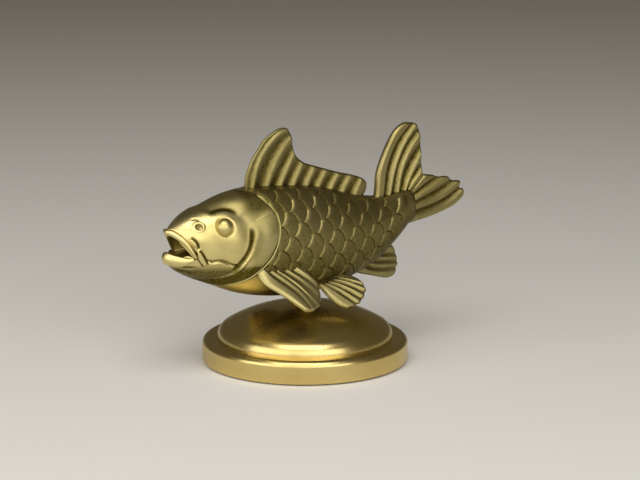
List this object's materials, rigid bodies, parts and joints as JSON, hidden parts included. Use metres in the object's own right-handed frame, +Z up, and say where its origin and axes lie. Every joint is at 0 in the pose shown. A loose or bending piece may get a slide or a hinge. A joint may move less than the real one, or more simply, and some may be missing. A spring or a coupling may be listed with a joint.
{
  "type": "fish figurine",
  "caption": "Brass fish ornament with raised fin rays, open mouth and bulging eyes, held by a short post on a domed round base with a felt underside.",
  "frame": {"origin": "centre of the base's underside, on the surface that it stands on", "axes": "+Z up, the fish's head towards -X and its tail towards +X, its left side towards -Y"},
  "size_m": [0.139, 0.08, 0.0921],
  "materials": {
    "body_brass": "satin cast brass, darker in the valleys of the scales and gills",
    "fin_brass": "satin cast brass, polished on the rays and darker between them",
    "eye_brass": "polished brass",
    "base_brass": "satin turned brass",
    "fastener_steel": "zinc plated steel, hidden inside",
    "base_felt": "dark green felt"
  },
  "bodies": {
    "root": {"felt_pad": "base_felt", "base_disc": "base_brass", "base_dome": "base_brass", "support_post": "base_brass", "locating_pin": "fastener_steel", "mounting_stud": "fastener_steel", "stud_washer": "fastener_steel", "stud_nut": "fastener_steel", "dorsal_fin": "fin_brass", "tail_fin": "fin_brass", "anal_fin": "fin_brass", "left_pectoral_fin": "fin_brass", "right_pectoral_fin": "fin_brass", "left_pelvic_fin": "fin_brass", "right_pelvic_fin": "fin_brass", "left_eye": "eye_brass", "right_eye": "eye_brass", "fish_body": "body_brass"}
  },
  "joints": []
}
